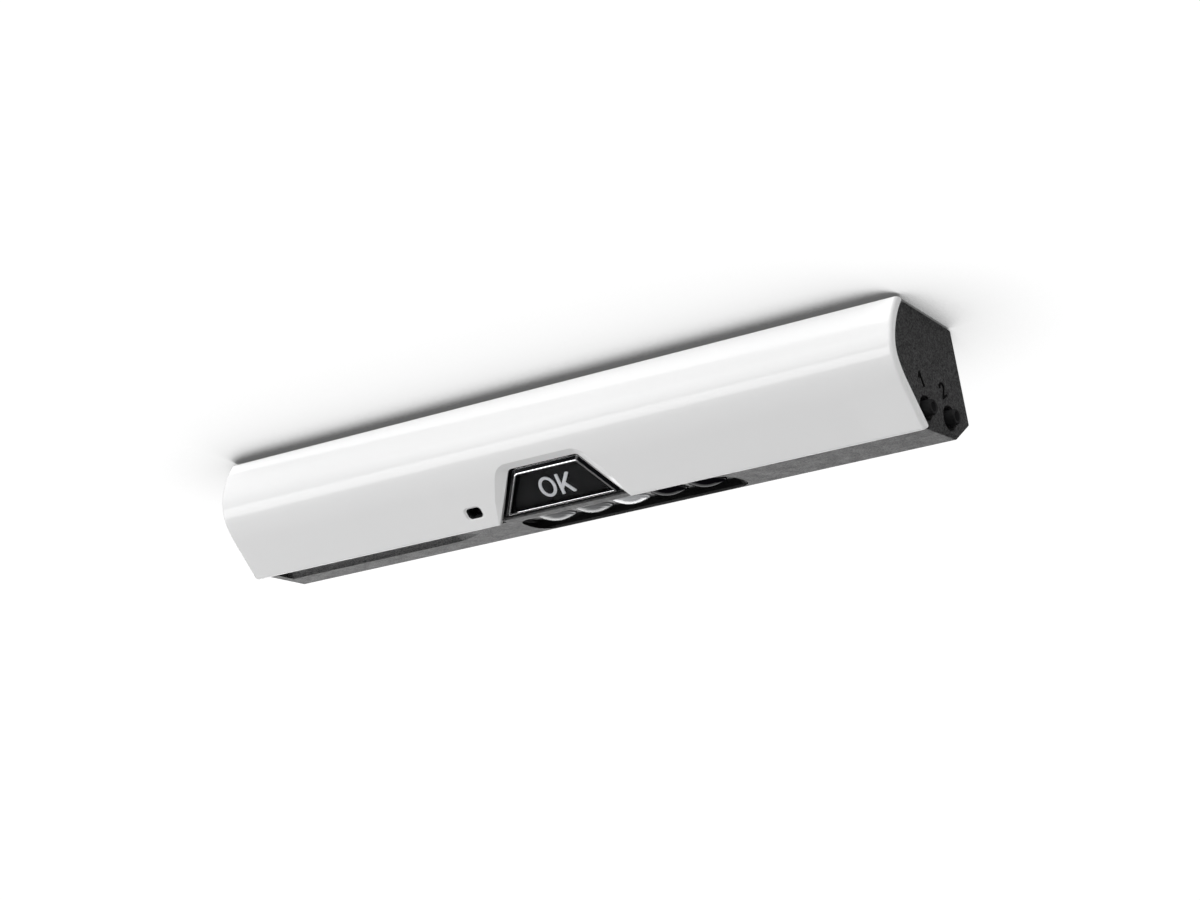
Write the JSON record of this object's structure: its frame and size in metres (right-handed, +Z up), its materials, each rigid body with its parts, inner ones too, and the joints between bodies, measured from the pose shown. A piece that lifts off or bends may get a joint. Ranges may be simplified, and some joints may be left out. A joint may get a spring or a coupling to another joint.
{
  "type": "automatic door opener sensor bar",
  "caption": "Ceiling-hung sensor bar that opens an automatic door: hinged white cover, status window, row of lenses below and push buttons in one end.",
  "frame": {"origin": "centre of the mounting plate's upper face, where it meets the ceiling", "axes": "+X along the bar to the end with the buttons, +Y to the back, +Z up into the ceiling"},
  "size_m": [0.3015, 0.056, 0.044],
  "materials": {
    "cover_white": "smooth gloss white",
    "housing_charcoal": "fine-grained moulded charcoal",
    "plate_zinc": "zinc plated",
    "screw_steel": "plated",
    "grommet_rubber": "matt black",
    "board_green": "solder-resist green",
    "terminal_green": "matt green",
    "relay_dark": "satin",
    "capacitor_sleeve": "shrink sleeve",
    "chip_black": "moulded",
    "black_plastic": "moulded black",
    "filter_dark": "dark filter, polished",
    "panel_black": "black glossy face",
    "print_grey": "light grey segments",
    "print_dark": "raised dark figures",
    "window_clear": "clear acrylic",
    "lens_clear": "clear polycarbonate",
    "lens_dark": "infrared-pass, polished",
    "antenna_gold": "gold-plated patches on laminate",
    "diode_clear": "clear epoxy"
  },
  "bodies": {
    "base": {"mounting_plate": "plate_zinc", "housing": "housing_charcoal", "plate_screw_1": "screw_steel", "plate_screw_2": "screw_steel", "cable_grommet": "grommet_rubber", "main_board": "board_green", "board_screw_1": "screw_steel", "board_screw_2": "screw_steel", "board_screw_3": "screw_steel", "board_screw_4": "screw_steel", "terminal_block": "terminal_green", "relay_1": "relay_dark", "relay_2": "relay_dark", "processor": "chip_black", "ribbon_socket": "black_plastic", "capacitor_1": "capacitor_sleeve", "capacitor_2": "capacitor_sleeve", "display_board": "board_green", "radar_board": "board_green", "hanger_screw_1": "screw_steel", "hanger_screw_2": "screw_steel", "hanger_screw_3": "screw_steel", "hanger_screw_4": "screw_steel", "ir_receiver": "filter_dark", "radar_antenna": "antenna_gold", "display_window": "window_clear", "display_panel": "panel_black", "letter_o": "print_grey", "letter_k": "print_grey", "lens_1": "lens_clear", "lens_2": "lens_clear", "lens_3": "lens_clear", "lens_4": "lens_dark", "lens_5": "lens_dark", "optics_block": "black_plastic", "optics_board": "board_green", "optics_screw_1": "screw_steel", "optics_screw_2": "screw_steel", "diode_1": "diode_clear", "diode_2": "diode_clear", "diode_3": "diode_clear", "diode_4": "diode_clear", "diode_5": "diode_clear", "switch_1": "chip_black", "switch_2": "chip_black", "switch_board": "board_green", "digit_1": "print_dark", "digit_2": "print_dark"},
    "cover": {"front_cover": "cover_white"},
    "button_1": {"button_1_cap": "black_plastic", "button_1_plunger": "chip_black"},
    "button_2": {"button_2_cap": "black_plastic", "button_2_plunger": "chip_black"}
  },
  "joints": [
    {"name": "cover_hinge", "type": "hinge", "parent": "base", "child": "cover", "pos_m": [0, -0.0213, -0.0026], "axis": [-1, 0, 0], "range_deg": [0, 60]},
    {"name": "button_1_travel", "type": "slide", "parent": "base", "child": "button_1", "axis": [-1, 0, 0], "range_m": [0, 0.0008], "stiffness_N_per_m": 1200, "springref_m": -0.0004},
    {"name": "button_2_travel", "type": "slide", "parent": "base", "child": "button_2", "axis": [-1, 0, 0], "range_m": [0, 0.0008], "stiffness_N_per_m": 1200, "springref_m": -0.0004}
  ]
}
